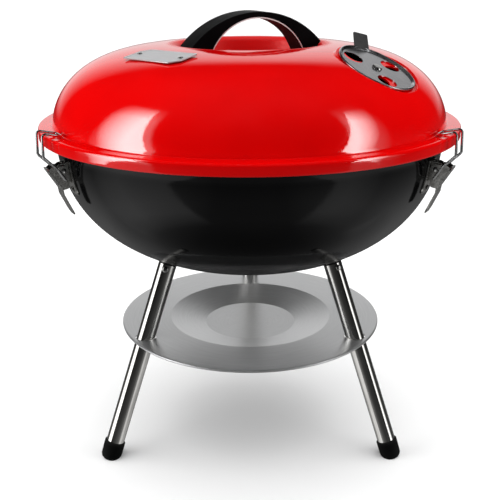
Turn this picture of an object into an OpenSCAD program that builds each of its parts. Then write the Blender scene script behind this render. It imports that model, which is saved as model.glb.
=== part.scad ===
// Portable kettle charcoal grill.
// A domed lid sits on a deep bowl, three wire latches hold it shut, and three splayed tube legs
// carry the bowl and an ash tray. Millimetres. The origin is on the kettle's axis at floor level,
// +Z points up and -Y is the front. Azimuths run from the front towards +X.

/* [Bowl] */
// Outer radius of the bowl where it is widest
bowl_r = 166.3; // [164:0.1:167]
// Height of the bowl's widest level above the floor
bowl_z = 289; // [288:0.5:290]
// Depth of the bowl below its widest level
bowl_depth = 121.8; // [118:0.1:124]
// Squareness of the bowl's curve, where 2 is an ellipse
bowl_power = 2.3; // [2.2:0.05:2.4]
// Thickness of the pressed steel sheet of bowl and lid
sheet = 1.2; // [1:0.1:1.4]
// Height at which the bowl's wall starts to flare out to its rim
neck_z = 277.5; // [276.5:0.5:279]
// Radius of the rolled bead around the rim
bead_r = 1.6; // [1.4:0.1:1.8]

/* [Lid] */
// Outer radius at the foot of the dome
lid_r = 168; // [167:0.1:168.5]
// Height of the flange's upper face, where the dome starts
lid_z = 295; // [294.5:0.5:296]
// Rise of the dome above the flange
lid_rise = 63.8; // [62:0.1:65]
// Outer radius of the flange
flange_r = 180; // [179:0.5:181]
// Height of the skirt that hangs from the flange
skirt_h = 9; // [8:0.5:10]
// Radius of the crest around the sunken middle of the lid
crest_r = 65; // [64:0.5:66]
// Height of the sunken floor that the handle stands on
recess_z = 342; // [341:0.5:343]

/* [Lid damper] */
// Azimuth of the round damper
damper_az = 54; // [50:1:60]
// Distance of the damper's middle from the kettle's axis
damper_pos_r = 121.5; // [120:0.1:123]
// Tilt of the damper's seat from level
damper_tilt = 27; // [26:0.5:28]
// Radius of the damper disc
damper_r = 32.3; // [32:0.1:32.5]
// Radius of each air hole
air_hole_r = 8; // [7:0.1:8.5]
// Distance of the air holes from the middle of the disc
air_hole_pos = 20; // [19.5:0.1:20.5]
// Angle of the disc's first air hole from the outward direction
disc_hole_az = 87; // [80:1:92]
// Turn from the disc's present place back to fully open
damper_open_turn = 16; // [10:1:20]

/* [Handle] */
// Turn of the handle's span from left-right
handle_turn = 23; // [10:1:30]
// Offset of the handle's middle from the kettle's axis along its span
handle_shift = 3; // [0:0.5:4]
// Width of the handle's grip
handle_w = 28; // [24:0.5:30]
// Radius of the handle's outer curve
handle_out_r = 79; // [78:0.5:80]
// Radius of the handle's inner curve
handle_in_r = 46.5; // [46:0.1:48]
// Height of the top of the handle
handle_top_z = 384; // [383:0.5:385]
// Thickness of the handle at its top
handle_top_t = 4; // [3.5:0.1:5]

/* [Legs] */
// Outer radius of the leg tube
tube_r = 8; // [7.5:0.1:8.2]
// Wall of the leg tube
tube_t = 1; // [0.8:0.1:1.4]
// Splay of each leg from upright
splay = 20.1; // [19.5:0.1:20.5]
// Distance of each leg's axis from the kettle's axis at floor level
foot_pos_r = 146.7; // [145:0.1:148]
// Outer radius of the rubber foot cap
cap_r = 9.2; // [9:0.1:10]
// Length of the foot cap along the leg
cap_len = 15.5; // [14:0.5:20]

/* [Ash tray] */
// Outer radius of the ash tray
tray_r = 119.4; // [118:0.1:121]
// Height of the tray's flat margin
tray_z = 109.3; // [108:0.1:111]
// Depth of the dish in the middle of the tray
tray_dip = 7.9; // [5:0.1:9]
// Thickness of the tray's sheet
tray_t = 1; // [0.8:0.1:1.2]

/* [Grates] */
// Outer radius of the cooking grate
cooking_r = 158; // [156:0.5:158]
// Height of the cooking grate's wires
cooking_z = 281; // [280.5:0.5:282]
// Outer radius of the charcoal grate
charcoal_r = 118; // [114:0.5:119]
// Height of the charcoal grate's wires
charcoal_z = 205; // [204:0.5:207]

/* [Latches] */
// Radius of the latch's sprung wire
wire_r = 1.1; // [1:0.05:1.2]
// Distance of each wire from the middle of the latch
wire_y = 7.4; // [7.3:0.05:7.6]
// Width of the latch lever
lever_w = 12; // [11:0.1:12]
// Thickness of the latch's sheet
latch_t = 1.2; // [1:0.1:1.2]

/* [Badge] */
// Azimuth of the blank badge plate
badge_az = -42; // [-46:1:-38]
// Distance of the badge's middle from the kettle's axis
badge_pos_r = 102; // [100:0.5:104]
// Length of the badge
badge_l = 58; // [52:0.5:60]
// Height of the badge
badge_h = 25; // [20:0.5:26]

/* [Hidden] */
$fn = 96;

// Azimuths of the legs and latches, and of the grate supports between them
left = -60;
right = 60;
rear = 180;
stations = [left, right, rear];
support_stations = [0, 120, 240];

// Clearance of a pin in its hole, gap between parts that only lie on each other, and boolean margin
fit = 0.05;
gap = 0.3;
over = 1;

// Bowl
curve_steps = 22;
rim_z = lid_z - sheet - gap;
rim_in_r = 171;
rim_out_r = 175;
bottom_hole_pos = 19;

// Lid crown: radius of the corner's middle, and how fast the curve turns out and up
crown_r = 14;
crown_out = 3.8;
crown_up = 1.8;
crown_end = 82;
crest_round = 5.1;
recess_round = 4;
recess_wall = 15;
crest_z = crown_point(crown_end, 0)[1] - crest_round;
recess_floor_r = crest_r - (crest_round + recess_round) * cos(recess_wall)
    - (crest_z - recess_z - recess_round + (crest_round + recess_round) * sin(recess_wall))
    * tan(recess_wall);
flange_round = 2;

// Lid damper seat
seat_z = 344.1;
seat_r = 35.4;
disc_t = 1;
disc_rim = 1.4;
rivet_r = 2.5;

// Handle
handle_out_z = handle_top_z - handle_out_r;
handle_in_z = handle_top_z - handle_top_t - handle_in_r;
shield_t = 1;
screw_pos = 51;
screw_r = 2;

// Legs
top_s = 185.6;
leg_screw_s = 181;
leg_screw_turns = [57, -32, 0];
leg_screw_r = 1.5;

// Latch pivots and outline, as [distance from the kettle's axis, height]
lever_pivot = [171, 269.3];
bail_pivot = [170.2, 261.3];
pin_r = 1.5;
ear_in = 3;
lever_half = lever_w / 2;
bail_bends = [1.4, 3, 3, 2.6, 2];
bail_path = [bail_pivot, [176, 271], [186.7, 281.8], [186, 300.2], [170.4, 296.5]];
lever_spine = [[183, 271], [172.8, 254.2], [172.3, 249.6], [164.4, 232.3]];
bracket_low_z = 248;
bracket_high_z = 276;

// Badge
badge_tilt = 11;
badge_lift = 0.35;
badge_t = 0.8;
badge_clip = 7;
badge_rivet_pos = 23;

// Radius of the bowl's outside at a height, with the surface moved out by g
function bowl_at(z, g = 0) =
    (bowl_r + g) * pow(1 - pow((bowl_z - z) / (bowl_depth + g), bowl_power), 1 / bowl_power);

// The bowl's outline from its lowest point up to the neck
function bowl_curve(g) =
    let (last = asin(pow((bowl_z - neck_z) / (bowl_depth + g), bowl_power / 2)))
    [for (i = [0:curve_steps])
        let (t = 90 - i * (90 - last) / curve_steps)
        [(bowl_r + g) * pow(cos(t), 2 / bowl_power),
         bowl_z - (bowl_depth + g) * pow(sin(t), 2 / bowl_power)]];

// A point of the dome, t running from 0 at the flange to 90 at the top
function crown_point(t, g) =
    [crown_r + (lid_r - crown_r + g) * pow(cos(t), 2 / crown_out),
     lid_z + (lid_rise + g) * pow(sin(t), 2 / crown_up)];

function arc(middle, r, from, to, steps) =
    [for (i = [0:steps])
        let (t = from + (to - from) * i / steps)
        middle + r * [cos(t), sin(t)]];

// The lid's outline from the flange over the crest to the middle of the sunken floor
function lid_curve(g) = concat(
    [for (i = [0:curve_steps]) crown_point(i * crown_end / curve_steps, g)],
    arc([crest_r, crest_z], crest_round + g, 88, 180 - recess_wall, 5),
    arc([recess_floor_r, recess_z + recess_round], recess_round - g, -recess_wall, -90, 4),
    [[0, recess_z + g]]);

function reversed(list) = [for (i = [len(list) - 1:-1:0]) list[i]];

// ---- placing ----

// Children are drawn with +X outwards at azimuth a
module at(a) {
    rotate([0, 0, a - 90]) children();
}

// Children are drawn on a leg's axis, with +Z up the leg and its origin on the floor
module on_leg(a) {
    at(a) translate([foot_pos_r, 0, 0]) rotate([0, -splay, 0]) children();
}

// Children are drawn on the lid damper's seat, with +Z out of it and +X down the slope
module on_seat() {
    at(damper_az) translate([damper_pos_r, 0, seat_z]) rotate([0, damper_tilt, 0]) children();
}

// Children are drawn on the badge, with +Z out of the lid and +X down the slope
module on_badge() {
    at(badge_az) translate([badge_pos_r, 0, crown_height(badge_pos_r)])
        rotate([0, badge_tilt, 0]) children();
}

// Height of the dome at a distance from the kettle's axis
function crown_height(r) =
    let (t = acos(pow((r - crown_r) / (lid_r - crown_r), crown_out / 2)))
    crown_point(t, 0)[1];

// An outline in the upright plane through the axis, made w thick from y
module upright(y, w) {
    translate([0, y + w, 0]) rotate([90, 0, 0]) linear_extrude(w) children();
}

// An outline in the upright plane, made w thick on both sides of the middle from y outwards
module upright_pair(y, w) {
    upright(y, w) children();
    upright(-y - w, w) children();
}

// A round bar lying across the latch at a point of the upright plane
module cross_bar(p, r, y0, y1) {
    translate([p[0], y0, p[1]]) rotate([-90, 0, 0]) cylinder(r = r, h = y1 - y0, $fn = 32);
}

// A flat strip that follows points, t thick
module strip(points, t) {
    for (i = [0:len(points) - 2]) {
        d = points[i + 1] - points[i];
        translate(points[i]) rotate(atan2(d[1], d[0]))
            translate([0, -t / 2]) square([norm(d), t]);
    }
    for (p = points) translate(p) circle(t / 2, $fn = 24);
}

// A round rod between two points
module rod(a, b, r) {
    d = b - a;
    translate(a) rotate([0, acos(d[2] / norm(d)), atan2(d[1], d[0])])
        cylinder(r = r, h = norm(d), $fn = 32);
}

function unit(v) = v / norm(v);

// Turn of a path at its point i, and the length that the bend there takes from each side
function path_turn(points, i) =
    acos(unit(points[i] - points[i - 1]) * unit(points[i + 1] - points[i]));
function bend_cut(points, bends, i) =
    i == 0 || i == len(points) - 1 ? 0 : bends[i] * tan(path_turn(points, i) / 2);

// A round wire along a path, bent at every inner point to that point's bend radius. The straight
// lengths lap over the slightly thinner bends.
module bent_wire(points, bends, r) {
    lap = 0.1;
    last = len(points) - 1;
    for (i = [0:last - 1]) {
        d = unit(points[i + 1] - points[i]);
        rod(points[i] + d * (bend_cut(points, bends, i) - lap),
            points[i + 1] - d * (bend_cut(points, bends, i + 1) - lap), r);
    }
    for (i = [1:last - 1]) {
        u = unit(points[i] - points[i - 1]);
        v = unit(points[i + 1] - points[i]);
        turn = path_turn(points, i);
        middle = points[i] + unit(v - u) * bends[i] / cos(turn / 2);
        x = unit(points[i] - u * bend_cut(points, bends, i) - middle);
        z = cross(x, u);
        multmatrix([[x[0], u[0], z[0], middle[0]], [x[1], u[1], z[1], middle[1]],
                [x[2], u[2], z[2], middle[2]], [0, 0, 0, 1]])
            rotate_extrude(angle = turn, $fn = 96)
                translate([bends[i], 0]) circle(r - 0.03, $fn = 32);
    }
}

// ---- bowl ----

module bowl_solid(g) {
    rotate_extrude($fn = 180) polygon(concat(bowl_curve(g), [[0, neck_z]]));
}

// Three air holes and a rivet hole through the bottom of the bowl
module bottom_holes() {
    for (a = [0:120:240])
        at(a) translate([bottom_hole_pos, 0, bowl_z - bowl_depth - 5])
            cylinder(r = air_hole_r, h = 12);
    translate([0, 0, bowl_z - bowl_depth - 5]) cylinder(r = rivet_r + fit, h = 12);
}

// Places of the two rivets of a latch bracket, square to the bowl's wall
module at_latch_rivets(a) {
    for (z = [bracket_low_z + 4.5, bracket_high_z - 4])
        let (slope = atan((bowl_at(z + 0.5) - bowl_at(z - 0.5))))
        at(a) translate([bowl_at(z), 0, z]) rotate([0, 90 + slope, 0]) children();
}

module bowl() {
    color([0.03, 0.03, 0.03])
    difference() {
        rotate_extrude($fn = 180) {
            polygon(concat(
                bowl_curve(0),
                [[rim_in_r, rim_z - sheet], [rim_out_r, rim_z - sheet], [rim_out_r, rim_z],
                 [rim_in_r - sheet, rim_z]],
                reversed(bowl_curve(-sheet))));
            translate([rim_out_r, rim_z - bead_r]) circle(bead_r, $fn = 32);
        }
        bottom_holes();
        for (a = stations)
            at_latch_rivets(a) translate([0, 0, -5]) cylinder(r = 1.5 + fit, h = 10, $fn = 32);
    }
}

// One ledge that a grate lies on, with a foot welded to the bowl's wall
module ledge(a, in_r, top_z, foot) {
    at(a) {
        translate([in_r, -7, top_z - 1.5]) cube([40, 14, 1.5]);
        intersection() {
            translate([in_r, -7, top_z - foot]) cube([40, 14, foot]);
            at(90) difference() {
                bowl_solid(-sheet - fit);
                bowl_solid(-sheet - 1.5);
            }
        }
    }
}

module grate_supports() {
    color([0.6, 0.6, 0.58])
    intersection() {
        for (a = support_stations) {
            ledge(a, 150, cooking_z - 2 - gap, 12);
            ledge(a, 108, charcoal_z - 2 - gap, 9);
        }
        rotate_extrude($fn = 180)
            polygon(concat(bowl_curve(-sheet - fit), [[bowl_at(neck_z) - sheet - fit, rim_z],
                [0, rim_z]]));
    }
}

module bowl_damper() {
    disc_z = bowl_z - bowl_depth - 2.6;
    color([0.62, 0.62, 0.62])
    difference() {
        union() {
            translate([0, 0, disc_z]) cylinder(r = 31, h = 1.2);
            at(180) translate([26, -7, disc_z]) cube([22, 14, 1.2]);
            at(180) translate([46.8, -7, disc_z - 9]) cube([1.2, 14, 9.5]);
        }
        for (a = [0:120:240])
            at(a) translate([bottom_hole_pos, 0, disc_z - over])
                cylinder(r = air_hole_r, h = 4);
        translate([0, 0, disc_z - over]) cylinder(r = rivet_r + fit, h = 4);
    }
}

module bowl_damper_rivet() {
    bottom = bowl_z - bowl_depth;
    color([0.7, 0.7, 0.7]) {
        translate([0, 0, bottom - 4.4]) cylinder(r = rivet_r, h = 7.6);
        translate([0, 0, bottom - 4.4]) cylinder(r = 5, h = 1.6);
        translate([0, 0, bottom - 1.2]) cylinder(r = 4.5, h = 1);
        translate([0, 0, bottom + sheet + 0.1]) cylinder(r = 5, h = 1.9);
    }
}

// ---- legs and tray ----

module leg_screw_hole(i, r) {
    on_leg(stations[i]) translate([0, 0, leg_screw_s]) rotate([0, 0, leg_screw_turns[i]])
        rotate([0, 90, 0]) cylinder(r = r, h = tube_r + 4, $fn = 32);
}

module leg_socket(i) {
    a = stations[i];
    color([0.05, 0.05, 0.05])
    difference() {
        on_leg(a) {
            translate([0, 0, top_s]) cylinder(r = tube_r + 1, h = 20);
            translate([0, 0, top_s - 24]) cylinder(r = tube_r - tube_t - 0.1, h = 26);
        }
        bowl_solid(0);
        leg_screw_hole(i, leg_screw_r + fit);
    }
}

module leg(i) {
    color([0.75, 0.75, 0.74])
    difference() {
        on_leg(stations[i]) difference() {
            translate([0, 0, 6]) cylinder(r = tube_r, h = top_s - 6);
            translate([0, 0, 6 - over]) cylinder(r = tube_r - tube_t, h = top_s);
        }
        leg_screw_hole(i, leg_screw_r + fit);
    }
}

module leg_screws() {
    color([0.55, 0.55, 0.55])
    for (i = [0:2])
        on_leg(stations[i]) translate([0, 0, leg_screw_s]) rotate([0, 0, leg_screw_turns[i]])
            rotate([0, 90, 0]) {
                translate([0, 0, 1]) cylinder(r = leg_screw_r, h = tube_r + 0.6, $fn = 32);
                translate([0, 0, tube_r + 0.1]) cylinder(r = 2.6, h = 1.4, $fn = 32);
            }
}

module foot_cap(i) {
    toe = 3;
    color([0.04, 0.04, 0.04])
    difference() {
        on_leg(stations[i]) difference() {
            translate([0, 0, -6]) cylinder(r = cap_r, h = cap_len + 6);
            translate([0, 0, 6]) cylinder(r = tube_r + fit, h = cap_len);
        }
        translate([-300, -300, -20]) cube([600, 600, 20]);
        at(stations[i]) translate([foot_pos_r + cap_r / cos(splay) - toe, -20, -over])
            cube([20, 40, 8]);
    }
}

module ash_tray() {
    slope_out_r = 74.7;
    slope_in_r = 41.7;
    lip_r = 1.2;
    color([0.5, 0.51, 0.51])
    difference() {
        rotate_extrude($fn = 180)
            polygon(concat(
                [[0, tray_z - tray_dip], [slope_in_r, tray_z - tray_dip], [slope_out_r, tray_z]],
                arc([tray_r - lip_r, tray_z - lip_r], lip_r, 90, -160, 12),
                [[tray_r - 2 * lip_r, tray_z - tray_t], [slope_out_r + 0.3, tray_z - tray_t],
                 [slope_in_r + 0.3, tray_z - tray_dip - tray_t],
                 [0, tray_z - tray_dip - tray_t]]));
        for (a = stations)
            at(a) translate([foot_pos_r - (tray_z - tray_t / 2) * tan(splay), 0, tray_z - 5])
                cylinder(r = tube_r + 1.2, h = 10);
    }
}

// ---- latches ----

module latch_bracket(a) {
    color([0.5, 0.5, 0.48])
    difference() {
        union() {
            intersection() {
                bowl_solid(1.5);
                at(a) translate([140, -8, bracket_low_z])
                    cube([40, 16, bracket_high_z - bracket_low_z]);
            }
            at(a) upright_pair(ear_in, latch_t) {
                translate(lever_pivot) circle(5.6, $fn = 48);
                polygon([[158, 275.5], [171, 274.9], [176.4, 268], [172, 263.8], [164, 256],
                    [158, 256]]);
            }
        }
        bowl_solid(fit);
        at(a) cross_bar(lever_pivot, pin_r + fit, -10, 10);
        at_latch_rivets(a) translate([0, 0, -5]) cylinder(r = 1.5 + fit, h = 10, $fn = 32);
    }
}

module latch_rivets() {
    color([0.6, 0.6, 0.58])
    for (a = stations)
        at_latch_rivets(a) {
            translate([0, 0, -sheet - 1.3]) cylinder(r = 1.5, h = sheet + 3.5, $fn = 32);
            translate([0, 0, 1.65]) cylinder(r = 2.6, h = 0.9, $fn = 32);
            translate([0, 0, -sheet - 1.4]) cylinder(r = 2.6, h = 1, $fn = 32);
        }
}

module latch_pin(a) {
    color([0.6, 0.6, 0.58])
    at(a) {
        cross_bar(lever_pivot, pin_r, -lever_half - 0.3, lever_half + 0.3);
        for (y = [-lever_half - 0.55, lever_half + 0.05])
            cross_bar(lever_pivot, 1.9, y, y + 0.5);
    }
}

module latch_lever(a) {
    cheek = [[182.4, 270.4], [179, 273], [166.9, 262.8], [167.8, 254.4], [172.4, 253.6]];
    color([0.62, 0.62, 0.6])
    at(a) difference() {
        union() {
            upright_pair(lever_half - latch_t, latch_t) {
                polygon(cheek);
                translate(lever_pivot) circle(4, $fn = 48);
            }
            upright(-lever_half, lever_w) strip(lever_spine, latch_t);
        }
        cross_bar(lever_pivot, pin_r + fit, -10, 10);
        cross_bar(bail_pivot, wire_r + fit, -10, 10);
    }
}

module latch_bail(a) {
    tip_y = ear_in + latch_t + gap;
    color([0.72, 0.72, 0.72])
    at(a) bent_wire(
        concat([[bail_pivot[0], -tip_y, bail_pivot[1]]],
            [for (p = bail_path) [p[0], -wire_y, p[1]]],
            [for (p = reversed(bail_path)) [p[0], wire_y, p[1]]],
            [[bail_pivot[0], tip_y, bail_pivot[1]]]),
        concat([0], bail_bends, reversed(bail_bends), [0]), wire_r);
}

// ---- grates ----

// A round wire grate: a ring, parallel bars and two bearers under them
module grate(r, z, pitch) {
    ring_wire = 2;
    bar_wire = 1.4;
    ring_r = r - ring_wire;
    count = floor((ring_r - 8) / pitch);
    translate([0, 0, z]) {
        rotate_extrude($fn = 180) translate([ring_r, 0]) circle(ring_wire, $fn = 24);
        for (i = [-count:count])
            let (half = sqrt(pow(ring_r, 2) - pow(i * pitch, 2)))
            rod([i * pitch, -half, 0], [i * pitch, half, 0], bar_wire);
        for (y = [-0.45, 0.45] * ring_r)
            let (half = sqrt(pow(ring_r, 2) - pow(y, 2)))
            rod([-half, y, -0.6], [half, y, -0.6], bar_wire);
    }
}

module charcoal_grate() {
    color([0.35, 0.35, 0.35]) grate(charcoal_r, charcoal_z, 15);
}

module cooking_grate() {
    color([0.75, 0.75, 0.75]) grate(cooking_r, cooking_z, 13);
}

// ---- lid ----

module lid_solid(g, base_z) {
    rotate_extrude($fn = 180)
        polygon(concat([[0, base_z], [lid_r + g, base_z]], lid_curve(g)));
}

module lid_flange() {
    skirt_z = lid_z - skirt_h;
    rotate_extrude($fn = 180)
        polygon(concat(
            [[lid_r - sheet, lid_z]],
            arc([flange_r - flange_round, lid_z - flange_round], flange_round, 90, 0, 4),
            [[flange_r, skirt_z], [flange_r - sheet, skirt_z]],
            arc([flange_r - flange_round, lid_z - flange_round], flange_round - sheet, 0, 90, 3),
            [[lid_r - sheet, lid_z - sheet]]));
}

module seat_holes(first, r) {
    for (a = [0:120:240])
        rotate([0, 0, first + a]) translate([air_hole_pos, 0, -5]) cylinder(r = r, h = 12);
    translate([0, 0, -5]) cylinder(r = rivet_r + fit, h = 12);
}

module on_handle() {
    rotate([0, 0, handle_turn]) translate([handle_shift, 0, 0]) children();
}

module at_handle_screws() {
    rotate([0, 0, handle_turn])
        for (x = [-screw_pos, screw_pos]) translate([x, 0, recess_z]) children();
}

module at_badge_rivets() {
    on_badge() for (y = [-badge_rivet_pos, badge_rivet_pos]) translate([0, y, 0]) children();
}

// The damper's flat seat, sunk into the lid on its outer side and standing proud on its inner side
module seat_cup() {
    difference() {
        on_seat() difference() {
            translate([0, 0, -8]) cylinder(r = seat_r + sheet, h = 20);
            cylinder(r = seat_r, h = 13);
            translate([0, 0, -9]) cylinder(r = seat_r, h = 9 - sheet);
        }
        difference() {
            on_seat() cylinder(r = 60, h = 30);
            lid_solid(0, lid_z - sheet);
        }
        intersection() {
            on_seat() translate([0, 0, -40 - sheet]) cylinder(r = 60, h = 40);
            lid_solid(-sheet, lid_z - sheet - over);
        }
    }
}

module lid() {
    color([0.8, 0.02, 0.02])
    difference() {
        union() {
            difference() {
                lid_solid(0, lid_z - sheet);
                lid_solid(-sheet, lid_z - sheet - over);
                on_seat() translate([0, 0, -30]) cylinder(r = seat_r + sheet / 2, h = 60);
            }
            lid_flange();
            seat_cup();
        }
        on_seat() seat_holes(disc_hole_az - damper_open_turn, air_hole_r);
        at_handle_screws() translate([0, 0, -5]) cylinder(r = screw_r + 0.2, h = 10, $fn = 32);
        at_badge_rivets() translate([0, 0, -8]) cylinder(r = 1.2 + fit, h = 12, $fn = 32);
    }
}

module lid_handle() {
    foot_z = recess_z + shield_t + gap;
    color([0.02, 0.02, 0.02])
    difference() {
        on_handle() rotate([90, 0, 0])
            linear_extrude(handle_w, center = true)
            intersection() {
                difference() {
                    translate([0, handle_out_z]) circle(handle_out_r, $fn = 180);
                    translate([0, handle_in_z]) circle(handle_in_r, $fn = 180);
                }
                translate([-100, foot_z]) square([200, 100]);
            }
        lid_solid(gap, lid_z);
        at_handle_screws() cylinder(r = screw_r + fit, h = 13, $fn = 32);
    }
}

module handle_heat_shield() {
    r = handle_in_r - gap;
    tab_in = sqrt(pow(r, 2) - pow(recess_z - handle_in_z, 2)) - shield_t / 2;
    color([0.4, 0.4, 0.42])
    difference() {
        on_handle() {
            rotate([90, 0, 0]) linear_extrude(handle_w - 2, center = true)
                intersection() {
                    difference() {
                        translate([0, handle_in_z]) circle(r, $fn = 180);
                        translate([0, handle_in_z]) circle(r - shield_t, $fn = 180);
                    }
                    translate([-100, recess_z]) square([200, 100]);
                }
            for (side = [-1, 1]) {
                tab_len = recess_floor_r - side * handle_shift - tab_in;
                translate([side > 0 ? tab_in : -tab_in - tab_len, -6, recess_z])
                    cube([tab_len, 12, shield_t]);
            }
        }
        at_handle_screws() translate([0, 0, -2]) cylinder(r = screw_r + 0.2, h = 6, $fn = 32);
    }
}

module handle_screws() {
    color([0.6, 0.6, 0.6])
    at_handle_screws() {
        translate([0, 0, -sheet - 3]) cylinder(r = screw_r, h = sheet + 14, $fn = 32);
        translate([0, 0, -sheet - 3.5]) cylinder(r = 4, h = 2.4, $fn = 32);
    }
}

module handle_washers() {
    color([0.7, 0.7, 0.7])
    at_handle_screws() translate([0, 0, -sheet - 1])
        difference() {
            cylinder(r = 5, h = 0.95, $fn = 48);
            translate([0, 0, -over]) cylinder(r = screw_r + 0.15, h = 4, $fn = 32);
        }
}

module lid_damper() {
    tab_az = 148;
    tab_w = 14.5;
    tab_h = 13.5;
    tab_lean = 57;
    color([0.45, 0.45, 0.46])
    on_seat() difference() {
        union() {
            translate([0, 0, gap]) cylinder(r = damper_r, h = disc_t);
            translate([0, 0, gap]) difference() {
                cylinder(r = damper_r, h = disc_t + 0.8);
                translate([0, 0, -over]) cylinder(r = damper_r - disc_rim, h = 5);
            }
            rotate([0, 0, tab_az]) translate([damper_r - 1.6, -tab_w / 2, gap + disc_t])
                rotate([0, tab_lean, 0]) translate([-1, 0, -1]) cube([1, tab_w, tab_h + 1]);
        }
        seat_holes(disc_hole_az, air_hole_r);
    }
}

module lid_damper_rivet() {
    color([0.8, 0.8, 0.8])
    on_seat() {
        translate([0, 0, -sheet - 1.4]) cylinder(r = rivet_r, h = sheet + 4);
        translate([0, 0, gap + disc_t + 0.1]) cylinder(r = 4.2, h = 1.2);
        translate([0, 0, -sheet - 1.5]) cylinder(r = 4.5, h = 1.4);
    }
}

module badge_plate() {
    x = badge_h / 2;
    y = badge_l / 2;
    color([0.75, 0.75, 0.75])
    difference() {
        on_badge() translate([0, 0, badge_lift]) linear_extrude(badge_t)
            polygon([[-x, -y + badge_clip], [-x + badge_clip, -y], [x, -y],
                [x, y - badge_clip], [x - badge_clip, y], [-x, y]]);
        at_badge_rivets() translate([0, 0, -5]) cylinder(r = 1.2 + fit, h = 12, $fn = 32);
    }
}

module badge_rivets() {
    color([0.8, 0.8, 0.8])
    at_badge_rivets() {
        translate([0, 0, -2.8]) cylinder(r = 1.2, h = 4.4, $fn = 32);
        translate([0, 0, badge_lift + badge_t + 0.05]) cylinder(r = 2.1, h = 0.8, $fn = 32);
        translate([0, 0, -3.1]) cylinder(r = 2.1, h = 0.8, $fn = 32);
    }
}

bowl();
grate_supports();
bowl_damper();
bowl_damper_rivet();
leg_socket(0);  // leg_socket_left
leg_socket(1);  // leg_socket_right
leg_socket(2);  // leg_socket_rear
leg(0);  // leg_left
leg(1);  // leg_right
leg(2);  // leg_rear
leg_screws();
foot_cap(0);  // foot_cap_left
foot_cap(1);  // foot_cap_right
foot_cap(2);  // foot_cap_rear
ash_tray();
latch_bracket(left);  // latch_bracket_left
latch_bracket(right);  // latch_bracket_right
latch_bracket(rear);  // latch_bracket_rear
latch_rivets();
latch_pin(left);  // latch_pin_left
latch_pin(right);  // latch_pin_right
latch_pin(rear);  // latch_pin_rear
latch_lever(left);  // latch_lever_left
latch_lever(right);  // latch_lever_right
latch_lever(rear);  // latch_lever_rear
latch_bail(left);  // latch_bail_left
latch_bail(right);  // latch_bail_right
latch_bail(rear);  // latch_bail_rear
charcoal_grate();
cooking_grate();
lid();
lid_handle();
handle_heat_shield();
handle_screws();
handle_washers();
lid_damper();
lid_damper_rivet();
badge_plate();
badge_rivets();
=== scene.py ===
import math

import bmesh
import bpy
from mathutils import Matrix, Vector
from mathutils.geometry import delaunay_2d_cdt


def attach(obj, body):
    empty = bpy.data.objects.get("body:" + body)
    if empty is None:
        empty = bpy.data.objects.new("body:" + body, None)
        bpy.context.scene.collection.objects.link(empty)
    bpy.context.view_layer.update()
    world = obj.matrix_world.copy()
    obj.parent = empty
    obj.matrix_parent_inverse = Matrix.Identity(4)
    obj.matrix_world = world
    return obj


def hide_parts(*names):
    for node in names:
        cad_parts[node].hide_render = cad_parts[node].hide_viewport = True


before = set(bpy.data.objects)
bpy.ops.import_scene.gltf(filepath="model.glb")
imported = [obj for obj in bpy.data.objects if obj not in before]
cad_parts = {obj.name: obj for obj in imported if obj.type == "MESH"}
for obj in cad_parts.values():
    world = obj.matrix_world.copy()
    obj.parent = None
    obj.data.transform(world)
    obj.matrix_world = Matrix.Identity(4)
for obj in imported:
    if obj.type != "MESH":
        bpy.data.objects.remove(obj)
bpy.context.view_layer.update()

MM = 0.001
STATIONS = {"left": -60, "right": 60, "rear": 180}  # the azimuths of the legs and the latches
scene = bpy.context.scene


# ---- frames, in millimetres; azimuths run from the front towards +X ----

def move(x=0.0, y=0.0, z=0.0):
    return Matrix.Translation((x, y, z))


def turn(degrees, axis):
    return Matrix.Rotation(math.radians(degrees), 4, axis)


def at(azimuth):
    """Local X points outwards at that azimuth."""
    return turn(azimuth - 90, "Z")


def scaled(matrix):
    """A frame in millimetres as an object matrix in metres."""
    out = matrix.copy()
    out.translation = matrix.translation * MM
    return out


UPRIGHT = Matrix(((1, 0, 0, 0), (0, 0, -1, 0), (0, 1, 0, 0), (0, 0, 0, 1)))  # (x, y) drawn as (x, z)
SEAT = at(54) @ move(121.5, 0, 344.1) @ turn(27, "Y")  # the lid damper's seat, Z outwards
HANDLE_TURN = turn(23, "Z")
HANDLE = HANDLE_TURN @ move(3)  # local X runs along the arch


def on_leg(azimuth):
    """Local Z runs up the leg's axis from the floor."""
    foot_r, lean = 146.7, 20.1
    return at(azimuth) @ move(foot_r) @ turn(-lean, "Y")


# ---- profiles shared with the CAD model; g moves a surface outwards ----

SHEET = 1.2
BOWL_R, BOWL_DEPTH, BOWL_TOP, BOWL_POWER = 166.3, 121.8, 289, 2.3
BOWL_FLAT_R = 11.5
CROWN_R, CROWN_REACH, CROWN_POWER_R = 14, 154, 3.8
CROWN_Z, CROWN_RISE, CROWN_POWER_Z = 295, 63.8, 1.8
CROWN_STEPS, CROWN_END = 120, math.radians(82)


def bowl_at(z, g=0.0):
    """The bowl's radius at a height."""
    drop = (BOWL_TOP - z) / (BOWL_DEPTH + g)
    return (BOWL_R + g) * (1 - drop ** BOWL_POWER) ** (1 / BOWL_POWER)


def bowl_z_at(r, g=0.0):
    """The bowl's height at a radius."""
    return BOWL_TOP - (BOWL_DEPTH + g) * (1 - (r / (BOWL_R + g)) ** BOWL_POWER) ** (1 / BOWL_POWER)


def bowl_curve(g, steps):
    """The bowl's profile from the axis up to the rim's start."""
    last = math.asin((BOWL_FLAT_R / (BOWL_DEPTH + g)) ** (BOWL_POWER / 2))
    out = []
    for i in range(steps + 1):
        t = math.pi / 2 - i * (math.pi / 2 - last) / steps
        out.append(((BOWL_R + g) * max(math.cos(t), 0) ** (2 / BOWL_POWER),
                    BOWL_TOP - (BOWL_DEPTH + g) * math.sin(t) ** (2 / BOWL_POWER)))
    out[0] = (0, out[0][1])
    return out


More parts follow.
